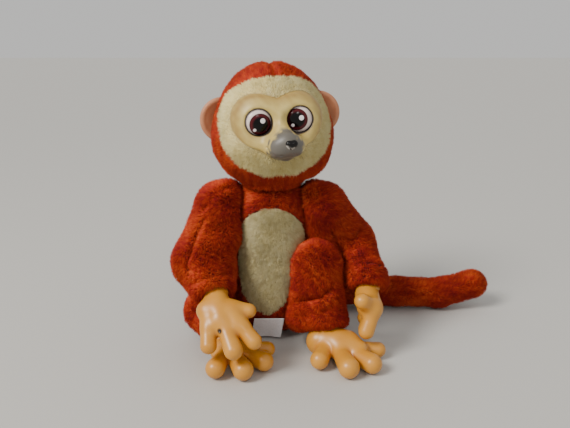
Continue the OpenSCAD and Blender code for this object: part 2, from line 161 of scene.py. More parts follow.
def smooth_max(a, b, k):
    """The greater of two fields, rounded in the same way."""
    return -smooth_min(-a, -b, k)


def along(p, a, b):
    """Share of the way from a to b at each point's foot, and the distance from the line."""
    a, b = np.array(a, float), np.array(b, float)
    ab = b - a
    t = ramp((p - a) @ ab / (ab @ ab))
    return t, length(p - a - t[:, None] * ab)


def cone(p, a, b, ra, rb):
    """A round-ended cone from a to b."""
    t, d = along(p, a, b)
    return d - ra - (rb - ra) * t


def ball(p, at, r):
    """A ball of radius r."""
    return length(p - np.array(at, float)) - r


def egg(p, at, r):
    """An ellipsoid with three half axes."""
    r = np.array(r, float)
    q = (p - np.array(at, float)) / r
    whole, slope = length(q), length(q / r)
    return whole * (whole - 1) / np.maximum(slope, 1e-6)


def joined(parts, k):
    """Several fields made one with smooth_min()."""
    total = parts[0]
    for part in parts[1:]:
        total = smooth_min(total, part, k)
    return total


def cones(p, spans, k):
    """Joined cones, each given as its two ends and its two radii."""
    return joined([cone(p, *span) for span in spans], k)


def groove(p, points, width):
    """1 on an open line through the points, fading to 0 beside it."""
    off = np.min([along(p, a, b)[1] for a, b in zip(points, points[1:])], axis=0)
    return np.exp(-(off / width) ** 2)


def in_shield(p, grow=0.0):
    """Inside the belly's shield outline seen from the front, or that outline let out a little."""
    inside = np.zeros(len(p), bool)
    x, y, z = p.T
    corners = np.array(SHIELD, float)
    corners = corners + grow * (corners - corners.mean(0)) / 40
    for (xa, za), (xb, zb) in zip(corners, np.roll(corners, -1, axis=0)):
        crosses = (za > z) != (zb > z)
        at = (xb - xa) * (z - za) / (zb - za + 1e-9) + xa
        inside ^= crosses & (x < at)
    return inside & (y < BELLY_FRONT_Y)


def turned(q, angle, a, b):
    """Points turned by an angle in the plane of axes a and b."""
    c, s = math.cos(angle), math.sin(angle)
    out = q.copy()
    out[:, a], out[:, b] = c * q[:, a] + s * q[:, b], c * q[:, b] - s * q[:, a]
    return out


def into_head(p):
    """Points of the solids' frame in the head's own frame, which faces -Y."""
    return turned(turned(p - HEAD_AT, HEAD_TURN, 0, 1), HEAD_TILT, 0, 2)


def from_head(q):
    """Points of the head's own frame in the solids' frame."""
    q = np.atleast_2d(np.array(q, float))
    return turned(turned(q, -HEAD_TILT, 0, 2), -HEAD_TURN, 0, 1) + HEAD_AT


def run_of_eggs(p, a, a_r, b, b_r, count):
    """Eggs that change evenly from one at a to one at b."""
    return [egg(p, a * (1 - t) + b * t, a_r * (1 - t) + b_r * t)
            for t in np.linspace(0, 1, count)]


def torso_field(p):
    """Belly and chest with the shoulders' yoke and the tail's stub, flat at neck and base."""
    x, _, z = p.T
    body = joined(run_of_eggs(p, BELLY, BELLY_R, CHEST, CHEST_R, 5), 6) + SKIN_IN
    flank = FLANK_X + FLANK_OUT * ramp((HIP_Z - z) / HIP_RISE)
    body = smooth_max(body, np.abs(x) - flank, 3)
    yoke = cone(p, (-YOKE_X, 1, YOKE_Z), (YOKE_X, 1, YOKE_Z), YOKE_R, YOKE_R)
    body = smooth_min(body, smooth_max(yoke, np.abs(x) - FLANK_X, 2), 3)
    body = smooth_min(body, cone(p, (9, 22, 16), TAIL_ROOT, 10.5, 11.2), 5)
    body = smooth_max(body, z - NECK_Z + 1.0, 3)
    return smooth_max(body, 0.6 - z, 3)


def head_field(p):
    """The hooded head with its neck, without the face."""
    q = into_head(p)
    eggs = run_of_eggs(q, CHEEKS, CHEEKS_R, CROWN, CROWN_R, 4)
    skull = joined([*eggs, egg(q, JOWL, JOWL_R)], 4) + HOOD_IN
    skull = smooth_max(skull, CHIN_Z - q[:, 2], 5)
    neck = smooth_max(np.hypot(p[:, 0], p[:, 1]) - NECK_R, NECK_Z + 0.4 - p[:, 2], 2)
    neck = smooth_max(neck, p[:, 2] - 150, 2)
    return smooth_min(skull, neck, 4)


def limb_field(limb):
    """A sleeve, flat at its joint and open at its cuff."""
    (a, b, c), (ra, rb, rc) = limb.points, np.array(limb.radii) - SKIN_IN
    rc = max(rc, SOCKET_R + CUFF_WALL)

    def field(p):
        sleeve = smooth_min(cone(p, a, b, ra, rb), cone(p, b, c, rb, rc), 5)
        if limb.calf:
            at, r = limb.calf
            sleeve = joined([sleeve, cone(p, b, at, rb, r - SKIN_IN),
                             cone(p, at, c, r - SKIN_IN, rc)], 5)
        inner = limb.face_x - limb.side * p[:, 0]
        inner = np.where(p[:, 1] > JOINT_FRONT_Y, inner, -50)
        sleeve = smooth_max(sleeve, inner, 2.5)
        collar = cone(p, c - COLLAR_LONG * limb.aim, c, SOCKET_R + COLLAR_WALL,
                      SOCKET_R + CUFF_WALL)
        sleeve = smooth_min(sleeve, collar, 4)
        out, spoke = limb.past_cuff(p)
        sleeve = smooth_max(sleeve, out, 2.5)
        bore = np.maximum(spoke - SOCKET_R, -out - SOCKET_DEEP)
        sleeve = smooth_max(sleeve, -bore, 1.5)
        return smooth_max(sleeve, CLEAR - p[:, 2], 3)
    return field


def leg_field(limb):
    """A leg's sleeve, drawn in where it lies against the belly."""
    sleeve = limb_field(limb)
    return lambda p: smooth_max(sleeve(p), 0.6 - torso_field(p), 2)


leg_left_field, leg_right_field = leg_field(LEG_LEFT), leg_field(LEG_RIGHT)


def arm_field(limb):
    """An arm's sleeve, full on the inside where it lies against the chest."""
    sleeve = limb_field(limb)

    def field(p):
        if limb is ARM_LEFT:
            swell = cone(p, (40, -3, 92), (44, -3, 76), 14.5, 13)
            swell = smooth_max(swell, limb.face_x + 0.5 - p[:, 0], 2)
        else:
            swell = joined([cone(p, (-34, -11, 98), (-45, -29, 73), 13.5, 13.5),
                            ball(p, (-40, -7, 108), 17.5), ball(p, (-43.5, -32, 62), 14.5)], 6)
        s = limb.side
        top = cone(p, (s * 41, -4, 107.5), (s * 34, -3, 113.0), 15.5, 12.8)
        swell = smooth_max(smooth_min(swell, top, 3), limb.face_x - s * p[:, 0], 1.5)
        swell = smooth_max(swell, CLEAR - torso_field(p), 2)
        leg = leg_left_field if limb is ARM_LEFT else leg_right_field
        return smooth_max(smooth_min(sleeve(p), swell, 6), CLEAR - leg(p), 1.5)
    return field


arm_left_field, arm_right_field = arm_field(ARM_LEFT), arm_field(ARM_RIGHT)


def floor_field(p):
    """The floor, a little raised, so that no strand goes through it."""
    return p[:, 2] - 0.2


def label_field(p):
    """Everything in front of the care label's back face, inside its outline."""
    x, y, z = (p - LABEL_TOP).T
    wide, tall = LABEL_SIZE
    c, s = math.cos(LABEL_LEAN), math.sin(LABEL_LEAN)
    front, run = -y * c - z * s, y * s - z * c
    return np.maximum.reduce([np.abs(x) - wide / 2 - 1, np.abs(run - tall / 2) - tall / 2 - 1,
                              -front - 0.6])


def tail_field(p):
    """The tail behind its root's ball joint."""
    whole = cones(p, [(TAIL_ROOT, TAIL_MIDDLE, 10.2, 10.6), (TAIL_MIDDLE, TAIL_DIP, 10.6, 10.8),
                      (TAIL_DIP, TAIL_END, 10.8, 10.6)], 4)
    whole = smooth_max(whole, -ball(p, TAIL_ROOT, 12.0), 2)
    return smooth_max(whole, CLEAR - p[:, 2], 3)


# ---------- vinyl forms ----------

def cast_neck(p, limb):
    """Flanged neck that the cable tie holds in the cuff."""
    out, spoke = limb.past_cuff(p)
    stem = np.maximum(spoke - 6.8, np.abs(out + 5) - 8)
    flange = np.maximum(spoke - 9, np.abs(out + 10.2) - 2.6)
    mouth = np.maximum(spoke - 9, np.abs(out - 0.4) - 2.8)
    return joined([stem, flange, mouth], 0.8)


def hand_field(arm, palm, thumb, fingers):
    """A moulded hand with bulb-ended fingers, and a vent in the right one."""
    def field(p):
        base = smooth_min(cones(p, palm, 6), cone(p, *thumb), 3)
        hand = smooth_min(base, cones(p, fingers, 1.2), 3.2)
        hand = smooth_min(hand, cast_neck(p, arm), 2)
        return smooth_max(hand, -ball(p, VENT_AT, VENT_R), 0.6) if arm is ARM_RIGHT else hand
    return field


def foot_field(leg, sole, toes):
    """A moulded foot with bulb-ended toes, flat on the floor."""
    def field(p):
        foot = smooth_min(cones(p, sole, 7), cones(p, toes, 1.0), 3.2)
        foot = smooth_min(foot, cast_neck(p, leg), 3)
        return smooth_max(foot, 0.15 - p[:, 2], 0.8)
    return field


hand_left_field = hand_field(
    ARM_LEFT,
    palm=[((74, -39, 44.5), (74, -50, 40), 9.4, 9), ((76.5, -54, 41), (76.5, -40, 35), 7, 7)],
    thumb=((76, -54, 43), (67.5, -60, 49), 5.2, 6),
    fingers=[((77, -55, 39), (71.5, -60, 24.5), 5.2, 5.9),
             ((77, -47, 36), (73, -48, 20.5), 5.2, 6),
             ((77, -40, 35), (73.5, -36, 24), 5.2, 6)])
hand_right_field = hand_field(
    ARM_RIGHT,
    palm=[((-39.5, -62, 50.5), (-36, -75, 42.5), 8.8, 8),
          ((-46.5, -68, 45), (-28, -70, 45.5), 7.6, 7.2),
          ((-27, -71, 45), (-19.5, -79, 38), 6, 5.4),
          ((-43.5, -78, 36.5), (-26, -79, 37.5), 6.2, 6)],
    thumb=((-29, -68, 48), (-15.5, -70, 46), 5.2, 5.3),
    fingers=[((-45, -72, 43), (-43.5, -87, 27), 5.2, 5.9),
             ((-35, -75, 43), (-25.5, -92, 26), 5.2, 6.8),
             ((-29, -73, 45), (-11.5, -86, 30), 5.2, 6)])
foot_left_field = foot_field(
    LEG_LEFT,
    sole=[((44, -48, 14), (52, -62, 11), 8.3, 7.6), ((37, -50, 13), (58, -54, 13), 8.6, 8.4),
          ((50, -56, 13), (66, -63, 11), 8, 7), ((36, -50, 9), (60, -58, 9), 7.6, 6.6)],
    toes=[((42, -58, 10), (36, -73, 8), 5.4, 7), ((51, -65, 10), (56.5, -84, 8), 5.4, 7.8),
          ((58, -62, 9.5), (74, -78, 7.8), 5.4, 7.4), ((60, -56, 8.5), (81.5, -56, 7), 5, 5.9)])
foot_right_field = foot_field(
    LEG_RIGHT,
    sole=[((-34, -56, 15), (-31, -65, 11), 8.3, 7.4), ((-39, -62, 9), (-22, -60, 9), 7, 6.6)],
    toes=[((-34, -66, 9.5), (-39.5, -85, 8), 5.4, 7.2),
          ((-28, -69, 9.5), (-19.5, -87, 8), 5.4, 7.6),
          ((-22, -64, 9.5), (-5, -75, 8), 5.4, 7.2), ((-21, -57, 9), (-3, -57, 8), 5.2, 6)])


def eye_bores(q, r):
    """Distance from the nearer of the two eye sockets' walls."""
    return np.hypot(np.abs(q[:, 0]) - EYE_X, q[:, 2] - EYE_Z) - r


def goggles(q):
    """Distance from the mask's outline in the head's X and Z."""
    x, _, z = q.T
    lobes = np.hypot((np.abs(x) - EYE_X + 0.5) / 0.94, z - EYE_Z + 0.5) - 18.6
    middle, below = np.hypot(x, z - 2) - 17.5, np.hypot(x - 1, z + 9) - 12.5
    return joined([lobes, middle, below], 8)


def mask_field(p):
    """The vinyl face: goggle-shaped plate, brows, muzzle with its mouth line, eye sockets."""
    q = into_head(p)
    plate = smooth_max(head_field(p) - MASK_OUT, goggles(q), 3)
    brows = [egg(q, (s * 15, -25.5, 6), (16.5, 16.2, 15)) for s in (-1, 1)]
    bridge = egg(q, (0.5, -27, 0), (9, 15.5, 13))
    plate = joined([plate, *brows, bridge], 9)
    orbits = joined([egg(q, (s * EYE_X, -46, EYE_Z), (13.2, 7.6, 13.2)) for s in (-1, 1)], 1)
    plate = smooth_max(plate, -orbits, 3.5)
    muzzle = cone(q, (1, -34, -9), (3, -50, -10), 14.2, 9.2)
    pads = joined([ball(q, (-2.6, -48.8, -12.4), 7.9), ball(q, (8.2, -48.8, -12), 7.5)], 2.2)
    lip = ball(q, (2.4, -45.5, -17.5), 5.6)
    face = smooth_min(plate, joined([muzzle, pads], 4), 6)
    face = smooth_min(face, lip, 2) + 0.7 * groove(q, MOUTH, 0.8)
    sockets = np.maximum(eye_bores(q, EYE_R + 0.1), q[:, 1] - EYE_BACK_Y)
    face = smooth_max(face, -sockets, 0.6)
    return smooth_max(face, q[:, 1] - MASK_BACK_Y, 1)


def nose_field(p):
    """Three joined lobes."""
    q = into_head(p) - np.array(NOSE_AT)
    wings = [ball(q, (x, 0.2, 0.9), 2.5) for x in (-1.9, 2.0)]
    return joined([*wings, ball(q, (-0.6, 0.5, -1.2), 2.1)], 2.4)


def ear_field(side):
    """A flat round ear with a thick rim, dished to the front."""
    def field(p):
        q = turned(into_head(p) - EAR_AT * np.array([side, 1, 1]), -side * EAR_LEAN, 0, 1)
        x, y, z = q.T
        spoke = np.hypot(x, z)
        plate = smooth_max(spoke - EAR_R, np.abs(y) - 1.6, 1.6)
        rim = np.hypot(spoke - EAR_R + 1.6, y + 0.4) - 2.0
        dish = egg(q, (0, -3, 0), (11.5, 3.4, 12))
        return smooth_max(smooth_min(plate, rim, 1.5), -dish, 1.5)
    return field


# ---------- from a field to a mesh ----------

def mesh_of(field, low, high, step):
    """Vertices and quads of a field's surface on a grid of that step."""
    low, high = np.array(low, float), np.array(high, float)
    size = np.ceil((high - low) / step).astype(int) + 1
    index = np.stack(np.indices(size), -1).reshape(-1, 3)
    value = field(low + step * index).reshape(size)
    total, hits, rings = np.zeros((*size, 3)), np.zeros(size), []
    for axis in range(3):
        near = np.take(value, range(size[axis] - 1), axis)
        past = np.take(value, range(1, size[axis]), axis)
        edge = np.argwhere((near < 0) != (past < 0))
        a, b = near[tuple(edge.T)], past[tuple(edge.T)]
        point = edge.astype(float)
        point[:, axis] += a / (a - b)
        ring = []
        for u, v in ((0, 0), (1, 0), (1, 1), (0, 1)):
            cell = edge.copy()
            cell[:, (axis + 1) % 3] -= u
            cell[:, (axis + 2) % 3] -= v
            np.add.at(total, tuple(cell.T), point)
            np.add.at(hits, tuple(cell.T), 1)
            ring.append(np.ravel_multi_index(cell.T, size))
        ring = np.stack(ring, 1)
        ring[a >= 0] = ring[a >= 0][:, ::-1]
        rings.append(ring)
    rings = np.concatenate(rings)
    used, faces = np.unique(rings, return_inverse=True)
    verts = total.reshape(-1, 3)[used] / hits.ravel()[used][:, None]
    return low + step * verts, faces.reshape(rings.shape)


def relaxed(verts, faces):
    """Each vertex drawn halfway to the middle of its neighbours."""
    total, hits = np.zeros_like(verts), np.zeros(len(verts))
    for i in range(4):
        a, b = faces[:, i], faces[:, (i + 1) % 4]
        for near, far in ((a, b), (b, a)):
            np.add.at(total, near, verts[far])
            np.add.at(hits, near, 1)
    return (verts + total / hits[:, None]) / 2


def onto(field, verts):
    """Vertices moved straight onto the field's surface."""
    h = 0.05
    slope = np.stack([(field(verts + h * e) - field(verts - h * e)) / (2 * h)
                      for e in np.eye(3)], 1)
    steep = np.maximum((slope * slope).sum(1), 0.25)
    move = -field(verts)[:, None] * slope / steep[:, None]
    long = length(move)
    return verts + move * np.minimum(1, 1.0 / np.maximum(long, 1e-9))[:, None]


def fair_mesh(field, low, high, step):
    """The field's surface as an even mesh."""
    verts, faces = mesh_of(field, low, high, step)
    for _ in range(2):
        verts = onto(field, relaxed(verts, faces))
    return verts, faces


def normals_of(verts, faces):
    """Outward unit normal at each vertex."""
    a, b, c, d = (verts[faces[:, i]] for i in (0, 1, 2, 3))
    flat = np.cross(c - a, d - b)
    total = np.zeros_like(verts)
    for i in range(4):
        np.add.at(total, faces[:, i], flat)
    return unit(total)


def in_scene(name, data):
    """A new object in the scene."""
    made = bpy.data.objects.new(name, data)
    bpy.context.scene.collection.objects.link(made)
    return made


def add_object(name, verts, faces, materials, index=None):
    """A smooth-shaded object from millimetre vertices and faces of one size."""
    mesh = bpy.data.meshes.new(name)
    count, corners = len(faces), faces.shape[1]
    mesh.vertices.add(len(verts))
    mesh.vertices.foreach_set("co", (verts * MM).astype(np.float32).ravel())
    mesh.loops.add(count * corners)
    mesh.loops.foreach_set("vertex_index", faces.astype(np.int32).ravel())
    mesh.polygons.add(count)
    mesh.polygons.foreach_set("loop_start", np.arange(0, count * corners, corners, dtype=np.int32))
    if index is not None:
        mesh.polygons.foreach_set("material_index", index.astype(np.int32))
    mesh.update(calc_edges=True)
    mesh.shade_smooth()
    for material in materials:
        mesh.materials.append(material)
    return in_scene(name, mesh)


def write_values(obj, name, values):
    """A named value on each vertex, for the materials."""
    layer = obj.data.attributes.new(name, "FLOAT", "POINT")
    layer.data.foreach_set("value", np.asarray(values, np.float32))


def read_points(mesh):
    """A mesh's vertices in millimetres."""
    out = np.zeros(len(mesh.vertices) * 3, np.float32)
    mesh.vertices.foreach_get("co", out)
    return out.reshape(-1, 3).astype(float) / MM


# ---------- filling ----------

FILL_FRAMES = 20
FILL_PRESSURE = 4.0


def filled(verts, faces, held, most):
    """The skin blown up by its filling as cloth, held at its seams, moved at most that far."""
    skin = add_object("filling", verts, faces, [])
    group = skin.vertex_groups.new(name="held")
    for i in np.flatnonzero(held > 0.02):
        group.add([int(i)], float(min(1, held[i])), "REPLACE")
    cloth = skin.modifiers.new("Cloth", "CLOTH")
    cloth.settings.use_pressure = True
    cloth.settings.uniform_pressure_force = FILL_PRESSURE
    cloth.settings.effector_weights.gravity = 0
    cloth.settings.vertex_group_mass = "held"
    cloth.point_cache.frame_start, cloth.point_cache.frame_end = 1, FILL_FRAMES
    for number in range(1, FILL_FRAMES + 1):
        bpy.context.scene.frame_set(number)
    done = skin.evaluated_get(bpy.context.evaluated_depsgraph_get())
    move = read_points(done.data) - verts
    bpy.data.objects.remove(skin)
    bpy.context.scene.frame_set(1)
    long = length(move)
    return verts + move * np.minimum(1, most / np.maximum(long, 1e-9))[:, None]


def finer(verts, faces):
    """The skin subdivided once more."""
    rough = add_object("finer", verts, faces, [])
    rough.modifiers.new("Subdivision", "SUBSURF").levels = 1
    done = rough.evaluated_get(bpy.context.evaluated_depsgraph_get()).data
    points = read_points(done)
    corners = np.zeros(len(done.loops), np.int32)
    done.loops.foreach_get("vertex_index", corners)
    bpy.data.objects.remove(rough)
    return points, corners.reshape(-1, 4)


class Skin:
    """A filled plush skin and the depth of the seams and folds pressed into it."""

    def __init__(self, field, low, high, step, lines, held, cap=3.0, firm=None):
        verts, faces = fair_mesh(field, low, high, step)
        pins = held(verts)
        for points, _, _ in lines:
            pins = np.maximum(pins, groove(verts, points, 3.0))
        verts = filled(verts, faces, pins, cap)
        self.verts, self.faces = finer(verts, faces)
        normals = normals_of(self.verts, self.faces)
        self.sunk = np.zeros(len(self.verts))
        for points, width, depth in lines:
            self.sunk = np.maximum(self.sunk, depth * groove(self.verts, points, width))
        if firm is not None:
            self.sunk = self.sunk * (1 - firm(self.verts))
        self.verts = self.verts - normals * self.sunk[:, None]
        self.normals = normals_of(self.verts, self.faces)


# ---------- pile ----------

def ripple(p, wavelength, seed):
    """Smooth noise of about unit size that repeats nowhere near."""
    rng, count = np.random.default_rng(seed), 6
    waves = rng.normal(size=(count, 3))
    waves *= 2 * math.pi / wavelength / length(waves)[:, None]
    waves *= rng.uniform(0.7, 1.4, (count, 1))
    phases = rng.uniform(0, 2 * math.pi, count)
    return np.sin(p @ waves.T + phases).sum(1) * math.sqrt(2 / count)


TIP_IN = 0.3         # how far a strand's tip may reach into a neighbour's skin
STUBBLE = 0.8        # strands shorter than this are left out
ROOT_IN = 0.5        # depth of a strand's foot under the backing
TIP_BEND = 0.14      # bend of a strand's tip along the comb, as a share of its length
TUFTS, SWIRLS, STRAY = (4.0, 0.12), (17.0, 0.20), 0.16    # lean: size and strength, then each strand's
UNEVEN, RAGGED = (3.2, 0.06), 0.07                        # the same for the length
BLOTCHES, CLOUDS, FLECKS = (5.0, 0.09), (26.0, 0.10), 0.15    # and for the shade
SEAM_SHORT, SEAM_FULL = 0.45, 3      # share of its length that pile loses in a seam that deep


def shortened(root, way, long, near):
    """Strand lengths that stop at a neighbour's skin; 0 where there is no room."""
    for _ in range(3):
        long = np.where(near(root + way * long[:, None]) < -TIP_IN, 0.6 * long, long)
    return np.where(near(root + way * long[:, None]) < -TIP_IN, 0, long)


# How one kind of pile grows: length, strands for each mm2, strand radius, lean and shades
Fur = namedtuple("Fur", "long dense width lean shades")


def scattered(skin, dense, rng):
    """Random places on a skin with their normals and how far they are sunk in a seam."""
    tris = np.concatenate([skin.faces[:, [0, 1, 2]], skin.faces[:, [0, 2, 3]]])
    a, b, c = (skin.verts[tris[:, i]] for i in (0, 1, 2))
    area = length(np.cross(b - a, c - a)) / 2
    pick = rng.choice(len(tris), int(area.sum() * dense), p=area / area.sum())
    u, v = rng.random((2, len(pick)))
    over = u + v > 1
    u[over], v[over] = 1 - u[over], 1 - v[over]
    share = np.stack([1 - u - v, u, v], 1)[:, :, None]
    root = (skin.verts[tris[pick]] * share).sum(1)
    normal = unit((skin.normals[tris[pick]] * share).sum(1))
    return root, normal, (skin.sunk[tris[pick]] * share[:, :, 0]).sum(1)


def plant(name, skin, keep, comb, fur, seed, near, longer=None):
    """Pile: thin strands rooted all over the part of a skin that keep() accepts."""
    rng = np.random.default_rng(seed)
    root, normal, sunk = scattered(skin, fur.dense, rng)
    use = keep(root)
    root, normal, sunk = root[use], normal[use], sunk[use]
    flow = comb(root)
    flow = unit(flow - (flow * normal).sum(1)[:, None] * normal)
    way = normal + fur.lean * flow
    for first, (size, strength) in ((1, TUFTS), (4, SWIRLS)):
        waves = [ripple(root, size, seed + first + axis) for axis in range(3)]
        way = way + strength * np.stack(waves, 1)
    way = unit(way + STRAY * rng.normal(size=root.shape))
    uneven = UNEVEN[1] * ripple(root, UNEVEN[0], seed + 7)
    long = fur.long * (1 + uneven + RAGGED * rng.normal(size=len(root)))
    if longer is not None:
        long = long * longer(root)
    long = long * (1 - SEAM_SHORT * ramp(sunk / SEAM_FULL))
    long = shortened(root, way, long, near)
    tall = long > STUBBLE
    return build_pile(name, root[tall], normal[tall], way[tall], flow[tall], long[tall],
                      fur, rng, seed)


def build_pile(name, root, normal, way, flow, long, fur, rng, seed):
    """One mesh of three-sided strands, each in one of the fur's shades."""
    count = len(root)
    across = unit(np.cross(way, rng.normal(size=way.shape)))
    other = np.cross(way, across)
    foot = root - ROOT_IN * normal
    verts = np.empty((count, 4, 3))
    for i, angle in enumerate((0, 2 * math.pi / 3, 4 * math.pi / 3)):
        verts[:, i] = foot + fur.width * (math.cos(angle) * across + math.sin(angle) * other)
    verts[:, 3] = root + long[:, None] * (way + TIP_BEND * flow)
    faces = np.array([[0, 1, 3], [1, 2, 3], [2, 0, 3]])
    faces = (4 * np.arange(count)[:, None, None] + faces).reshape(-1, 3)
    drift = sum(strength * ripple(root, size, seed + 8 + i)
                for i, (size, strength) in enumerate((BLOTCHES, CLOUDS)))
    tone = 0.5 + drift + FLECKS * rng.normal(size=count)
    shades = fur.shades
    shade = np.clip((tone * len(shades)).astype(int), 0, len(shades) - 1)
    return add_object(name, verts.reshape(-1, 3), faces, shades, np.repeat(shade, 3))


# ---------- materials ----------

def linear(tone):
    """Blender's linear colour of an everyday tone with values up to 255."""
    v = np.array(tone, float) / 255
    return (*np.where(v <= 0.04045, v / 12.92, ((v + 0.055) / 1.055) ** 2.4), 1)


def set_inputs(material, made, inputs):
    """A node's inputs set to values, or linked to other nodes' sockets."""
    for key, value in inputs.items():
        if isinstance(value, bpy.types.NodeSocket):
            material.node_tree.links.new(value, made.inputs[key])
        else:
            made.inputs[key].default_value = value


def node(material, kind, inputs, **settings):
    """The outputs of a new node."""
    made = material.node_tree.nodes.new(kind)
    for key, value in settings.items():
        setattr(made, key, value)
    set_inputs(material, made, inputs)
    return made.outputs


def surface(material, **inputs):
    """Inputs of the material's surface, their names written with underscores."""
    set_inputs(material, material.node_tree.nodes["Principled BSDF"],
               {key.replace("_", " "): value for key, value in inputs.items()})


def shader(name, tone, roughness, **inputs):
    """A material with one tone and gloss, ready for texture nodes."""
    material = bpy.data.materials.new(name)
    material.use_nodes = True
    surface(material, Base_Color=linear(tone), Roughness=roughness, **inputs)
    return material


def noise_of(material, size_mm):
    """Noise with features of about that size."""
    place = node(material, "ShaderNodeTexCoord", {})["Object"]
    return node(material, "ShaderNodeTexNoise",
                {"Vector": place, "Scale": 1 / (size_mm * MM), "Detail": 3.0})["Fac"]


def mix_colour(material, share, low, high):
    """Colour socket between low and high, each a tone or a socket."""
    low, high = (linear(c) if isinstance(c, tuple) else c for c in (low, high))
    return node(material, "ShaderNodeMix", {0: share, 6: low, 7: high}, data_type="RGBA")[2]


def ranged(material, value, low, high):
    """Value spread from low..high to 0..1, clamped."""
    return node(material, "ShaderNodeMapRange",
                {"Value": value, "From Min": low, "From Max": high})["Result"]


def bumped(material, size_mm, depth_mm, strength=0.5):
    """Fine relief over the whole surface."""
    relief = node(material, "ShaderNodeBump", {
        "Strength": strength, "Distance": depth_mm * MM, "Height": noise_of(material, size_mm)})
    surface(material, Normal=relief["Normal"])


def drifting(material, size_mm, low, high, dark, light):
    """Colour socket that drifts between two tones, by noise from low to high."""
    return mix_colour(material, ranged(material, noise_of(material, size_mm), low, high), dark, light)


def painted(material, socket, layers):
    """Base colour with a tone over it for each named vertex value: sprayed paint and wear, and also
    painted shade and painted highlights.
    """
    for value, tone in layers:
        mask = node(material, "ShaderNodeAttribute", {}, attribute_name=value)["Fac"]
        socket = mix_colour(material, mask, socket, tone)
    surface(material, Base_Color=socket)


def mottled(name, dark, light, size_mm, roughness, relief, **inputs):
    """Material in two tones, with the size and depth of its relief in millimetres."""
    material = shader(name, light, roughness, **inputs)
    surface(material, Base_Color=drifting(material, size_mm, 0.3, 0.7, dark, light))
    bumped(material, *relief)
    return material


def pile_shades(name, tones, sheen):
    """One fibre material for each tone."""
    return [shader(f"{name}_{i}", tone, 0.75, Sheen_Weight=sheen, Sheen_Roughness=0.5,
                   Specular_IOR_Level=0.2, Sheen_Tint=linear(tones[-1]))
            for i, tone in enumerate(tones)]


RED_TONES = [(140, 25, 28), (164, 41, 28), (188, 60, 30), (212, 87, 38)]
CREAM_TONES = [(222, 203, 138), (230, 213, 150), (237, 222, 163), (243, 230, 176)]
# The belly's cream pile, a darker copy of the ruff's cream: painted shade.
BELLY_SHADED_TONES = [(205, 190, 138), (213, 199, 149), (220, 207, 160), (227, 216, 172)]
red_pile = pile_shades("red_pile", RED_TONES, 0.35)
cream_pile = pile_shades("cream_pile", CREAM_TONES, 0.3)
belly_pile = pile_shades("belly_pile", BELLY_SHADED_TONES, 0.3)
BODY_FUR = Fur(3.7, 4.2, 0.32, 0.5, red_pile)
HOOD_FUR = Fur(3.0, 4.0, 0.32, 0.5, red_pile)
RUFF_FUR = Fur(2.7, 5.6, 0.31, 0.3, cream_pile)
BELLY_FUR = Fur(3.2, 5.4, 0.31, 0.35, belly_pile)
# The backings are darker than their pile: painted shade at the pile's roots.
red_shaded_back = mottled("red_shaded_backing", (84, 8, 8), (112, 18, 10), 1.6, 0.9, (0.7, 0.3))
cream_shaded_back = mottled("cream_shaded_backing", (168, 150, 108), (190, 174, 132), 1.6, 0.9, (0.7, 0.3))
nylon = mottled("nylon", (214, 214, 206), (232, 232, 226), 3, 0.45, (0.5, 0.05))
tan_vinyl = shader("tan_vinyl", (222, 172, 96), 0.38, Coat_Weight=0.15, Coat_Roughness=0.25)
ear_vinyl = mottled("ear_vinyl", (178, 113, 78), (197, 134, 97), 9, 0.5, (1.2, 0.06))
face_vinyl = shader("face_vinyl", (214, 194, 138), 0.42)
nose_gloss = shader("nose_gloss", (12, 9, 9), 0.25, Specular_IOR_Level=0.3)
satin = mottled("satin", (226, 224, 226), (240, 238, 240), 1.2, 0.35, (0.35, 0.05), Sheen_Weight=0.3)


def finish_vinyls():
    """Sprayed and worn paint of the moulded vinyl, with painted shade and painted highlights, by the
    pieces' vertex values.
    """
    # Hands and feet: a random tone, then painted shade in hollows, a painted highlight on bulging tips
    # and painted shade in the vent hole.
    painted(tan_vinyl, drifting(tan_vinyl, 14, 0.35, 0.7, (199, 134, 40), (208, 145, 50)),
            [("crease_shade", (168, 96, 36)), ("tip_highlight", (222, 146, 92)), ("vent", (40, 24, 12))])
    bumped(tan_vinyl, 1.1, 0.04, 0.4)
    # Face: a random tone, then painted shade round the eyes and the mask's edge, the grey muzzle, a
    # dark nostril line with painted shade in the mouth's groove, and a painted shadow line round each
    # eye socket.
    painted(face_vinyl, drifting(face_vinyl, 7, 0.35, 0.7, (198, 173, 96), (208, 186, 112)),
            [("shade", (160, 128, 66)), ("grey", (100, 95, 87)), ("dark", (92, 88, 84)),
             ("line", (52, 42, 38))])
    bumped(face_vinyl, 1.0, 0.04, 0.4)
    painted(nose_gloss, drifting(nose_gloss, 2, 0.3, 0.7, (8, 6, 6), (18, 14, 14)),
            [("chipped", (196, 190, 180))])


finish_vinyls()


# ---------- plush pieces ----------

BALD_Z = 1.2         # no pile below this height, where the object sits on it
ROUGH_STEP = 4.0     # grid of the torso, head and tail before they are filled
SLEEVE_STEP = 2.0    # finer, because of the thin cuffs


def held_base(p):
    """Pins the few millimetres above the floor."""
    return ramp(4 - p[:, 2])


def reach(limb):
    """A box round a sleeve."""
    points = np.array(limb.points)
    room = max(limb.radii) + 6
    return points.min(0) - room, points.max(0) + room


def held_faces(limb):
    """Pins on a sleeve's joint face, cuff and base."""
    def held(p):
        out, _ = limb.past_cuff(p)
        face = ramp(4 - (limb.side * p[:, 0] - limb.face_x))
        face = face * (p[:, 1] > JOINT_FRONT_Y)
        return np.maximum.reduce([face, ramp(out + 10), held_base(p)])
    return held


def thin_wall(limb):
    """Near 1 round the cuff's bore, where a seam leaves the sleeve's wall whole."""
    return lambda p: np.clip((limb.past_cuff(p)[0] + SOCKET_DEEP + 6) / 5, 0, 0.65)


